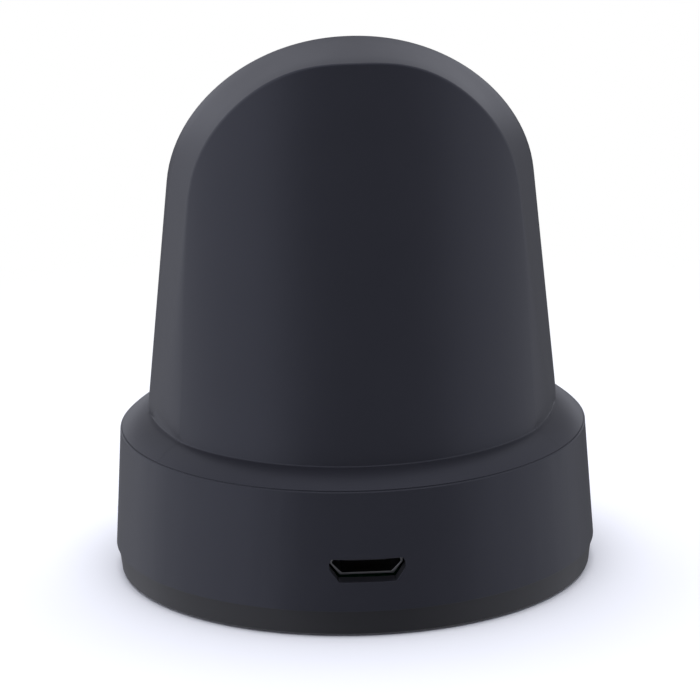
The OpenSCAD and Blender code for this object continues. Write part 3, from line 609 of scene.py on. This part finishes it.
finishes = {
    # ABS from a spark-eroded mould: an even matt grain, dark charcoal with a slight blue cast
    "charcoal_abs": {
        "name": "mouldedCharcoalAbs", "shades": ("#1f1f25", "#232329"), "roughness": (0.36, 0.42),
        "size": 0.14, "height": 0.004, "strength": 0.25, "patch": 9.0,
        "surface": {"IOR": 1.5, "Specular Tint": (0.84, 0.87, 1, 1)}},
    # the same ABS from a finer mould, nearly black
    "dark_abs": {
        "name": "mouldedBlackAbs", "shades": ("#16161a", "#19191d"), "roughness": (0.38, 0.44),
        "size": 0.12, "height": 0.003, "strength": 0.25, "patch": 9.0, "surface": {"IOR": 1.5}},
    # pressed nitrile rubber: dull, with a fine dusty grain
    "foot_rubber": {
        "name": "pressedNitrileRubber", "shades": ("#101012", "#1b1b1c"), "roughness": (0.7, 0.85),
        "size": 0.1, "height": 0.006, "strength": 0.4, "patch": 3.0, "surface": {"IOR": 1.52}},
    # moulded silicone: smooth satin that catches a soft sheen at its edges
    "contact_silicone": {
        "name": "mouldedSilicone", "shades": ("#161618", "#1c1c1f"), "roughness": (0.42, 0.52),
        "size": 0.2, "height": 0.002, "strength": 0.2, "patch": 5.0,
        "surface": {"IOR": 1.41, "Sheen Weight": 0.15, "Sheen Roughness": 0.4}},
    # natural glass-filled nylon: off-white, a little cloudy where it flowed
    "carrier_nylon": {
        "name": "mouldedNaturalNylon", "shades": ("#d6d2c4", "#e2dfd3"), "roughness": (0.4, 0.55),
        "size": 0.3, "height": 0.004, "strength": 0.3, "patch": 6.0,
        "surface": {"IOR": 1.53, "Subsurface Weight": 0.08, "Subsurface Scale": 0.002}},
    # drawn copper under a thin clear enamel
    "copper_wire": {
        "name": "enamelledCopper", "shades": ("#b46a3c", "#c98052"), "roughness": (0.22, 0.32),
        "size": 0.4, "height": 0.002, "strength": 0.2, "patch": 2.0,
        "surface": {"Metallic": 1.0, "Coat Weight": 0.6, "Coat Roughness": 0.1}},
    # sintered ferrite, ground flat: dark grey with a fine crystalline speckle
    "ferrite": {
        "name": "groundFerrite", "shades": ("#2c2c2f", "#48484b"), "roughness": (0.45, 0.65),
        "size": 0.08, "height": 0.003, "strength": 0.4, "patch": 0.25, "surface": {"IOR": 2.0}},
    # nickel plate over a sintered magnet: bright with a slight orange peel
    "nickel_magnet": {
        "name": "platedNickel", "shades": ("#bdbab4", "#c9c7c2"), "roughness": (0.14, 0.24),
        "size": 0.6, "height": 0.003, "strength": 0.25, "patch": 4.0, "surface": {"Metallic": 1.0}},
    # zinc plate with a blue passivation that varies over the head
    "zinc_steel": {
        "name": "zincPlatedSteel", "shades": ("#a3a7ab", "#b9bab6"), "roughness": (0.28, 0.4),
        "size": 0.3, "height": 0.003, "strength": 0.3, "patch": 1.2, "surface": {"Metallic": 1.0}},
    # cold rolled sheet, punched and oiled: faint lines along the rolling direction
    "stamped_steel": {
        "name": "coldRolledSteel", "shades": ("#8a8b8c", "#9c9d9d"), "roughness": (0.3, 0.45),
        "size": 0.25, "height": 0.003, "strength": 0.35, "patch": 1.5, "stretch": (1, 0.05, 1),
        "surface": {"Metallic": 1.0}},
    # tinned sheet folded into a sleeve: soft grey shine
    "socket_steel": {
        "name": "tinnedSteel", "shades": ("#a2a2a3", "#b2b2b1"), "roughness": (0.26, 0.36),
        "size": 0.3, "height": 0.002, "strength": 0.3, "patch": 1.5, "stretch": (1, 0.1, 1),
        "surface": {"Metallic": 1.0}},
    # extruded wire insulation: smooth, waxy
    "red_wire": {
        "name": "extrudedRedPvc", "shades": ("#8c1712", "#991d17"), "roughness": (0.35, 0.45),
        "size": 0.3, "height": 0.002, "strength": 0.2, "patch": 4.0, "surface": {"IOR": 1.53}},
    "black_wire": {
        "name": "extrudedBlackPvc", "shades": ("#0c0c0d", "#121213"), "roughness": (0.35, 0.45),
        "size": 0.3, "height": 0.002, "strength": 0.2, "patch": 4.0, "surface": {"IOR": 1.53}},
    # cream nylon connector housings with a light moulded grain
    "connector_nylon": {
        "name": "mouldedCreamNylon", "shades": ("#ded8c2", "#e8e3d2"), "roughness": (0.4, 0.5),
        "size": 0.2, "height": 0.003, "strength": 0.3, "patch": 3.0, "surface": {"IOR": 1.53}},
    # glass laminate under green solder mask: glossy, slightly mottled by the weave below
    "board_laminate": {
        "name": "maskedGlassLaminate", "shades": ("#0d4527", "#14593a"), "roughness": (0.2, 0.32),
        "size": 0.5, "height": 0.006, "strength": 0.3, "patch": 0.9, "surface": {"IOR": 1.55}},
    # moulded epoxy of chip packages: dead matt, near black
    "black_resin": {
        "name": "mouldedEpoxy", "shades": ("#0f0f11", "#161618"), "roughness": (0.55, 0.65),
        "size": 0.08, "height": 0.003, "strength": 0.35, "patch": 1.5, "surface": {"IOR": 1.55}},
    # a gold flash over brass springs
    "gold_contact": {
        "name": "goldFlashedBrass", "shades": ("#d0a04a", "#dcb468"), "roughness": (0.18, 0.28),
        "size": 0.2, "height": 0.001, "strength": 0.2, "patch": 1.0, "surface": {"Metallic": 1.0}},
    # fired barium titanate: tan, slightly glossy
    "capacitor_ceramic": {
        "name": "firedCeramic", "shades": ("#8f6a45", "#a47d57"), "roughness": (0.3, 0.45),
        "size": 0.1, "height": 0.002, "strength": 0.3, "patch": 0.8, "surface": {"IOR": 1.8}},
    # cast resin with yellow phosphor
    "led_resin": {
        "name": "castPhosphorResin", "shades": ("#e6dc9a", "#f0e9c4"), "roughness": (0.3, 0.4),
        "size": 0.2, "height": 0.002, "strength": 0.2, "patch": 0.6, "surface": {"IOR": 1.5}},
    # clear acrylic, polished at both ends
    "clear_acrylic": {
        "name": "polishedAcrylic", "shades": ("#eef2f4", "#f6f8f9"), "roughness": (0.05, 0.12),
        "size": 0.5, "height": 0.001, "strength": 0.1, "patch": 3.0,
        "surface": {"IOR": 1.49, "Transmission Weight": 0.9}}}


def makeFinish(finish):
    material, tree, place, shader = newMaterial(finish["name"], finish["surface"])
    if "stretch" in finish:
        place = addNode(tree, "ShaderNodeMapping", {"Scale": finish["stretch"]},
                        {"Vector": place}).outputs[0]
    grainOn(tree, place, shader, finish)
    return material


materials = {slot: makeFinish(finish) for slot, finish in finishes.items()}
slotOf = {row["node"]: row["material_slot"] for row in frame["record"]["subparts"]}
for name, node in nodes.items():
    node.data.materials.clear()
    node.data.materials.append(materials[slotOf[name]])
    for face in node.data.polygons:
        face.material_index = 0
print("materials made:", len(materials))

pieces = {"topShellSkin": (buildTopShell(), "top_shell")}
for node, soft in softened.items():
    pieces[soft["piece"]] = (softenedCopy(nodes[node], soft["round"]), node)
for name, (bm, node) in pieces.items():
    piece = finishPiece(bm, name, materials[slotOf[node]], node)
    if node in softened:
        # the large faces keep their own shading and the roundings blend into them
        piece.modifiers.new("evenShading", "WEIGHTED_NORMAL").keep_sharp = True
    print("piece finished:", name)
